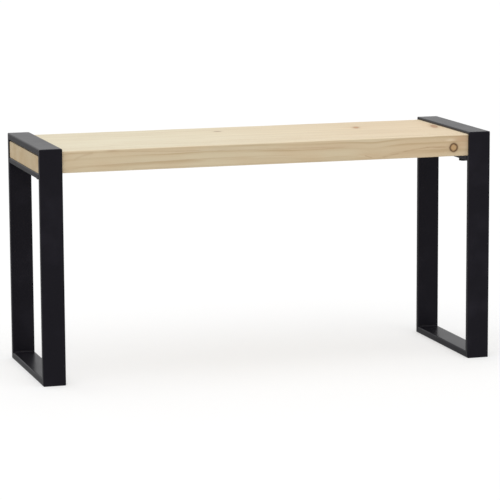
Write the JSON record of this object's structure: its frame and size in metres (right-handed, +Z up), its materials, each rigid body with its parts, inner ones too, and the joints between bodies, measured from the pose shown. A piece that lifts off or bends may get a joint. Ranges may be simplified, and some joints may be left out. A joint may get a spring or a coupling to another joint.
{
  "type": "entryway bench",
  "caption": "Low narrow bench with a pale pine plank seat held in closed end frames of black flat tube.",
  "frame": {"origin": "on the floor, at the middle of the footprint", "axes": "+X along the bench to the right end, +Y to the back, +Z up"},
  "size_m": [0.9, 0.29, 0.45],
  "materials": {
    "black_coat": "satin black powder coat",
    "pine": "pale softwood, thin matt oil",
    "black_fastener": "blackened steel",
    "insert_metal": "turned brass"
  },
  "bodies": {
    "root": {"left_front_leg": "black_coat", "left_rear_leg": "black_coat", "left_top_bar": "black_coat", "left_crossbar": "black_coat", "left_bottom_bar": "black_coat", "left_seat_bolts": "black_fastener", "left_seat_washers": "black_fastener", "left_threaded_inserts": "insert_metal", "right_front_leg": "black_coat", "right_rear_leg": "black_coat", "right_top_bar": "black_coat", "right_crossbar": "black_coat", "right_bottom_bar": "black_coat", "right_seat_bolts": "black_fastener", "right_seat_washers": "black_fastener", "right_threaded_inserts": "insert_metal", "seat_plank": "pine"}
  },
  "joints": []
}
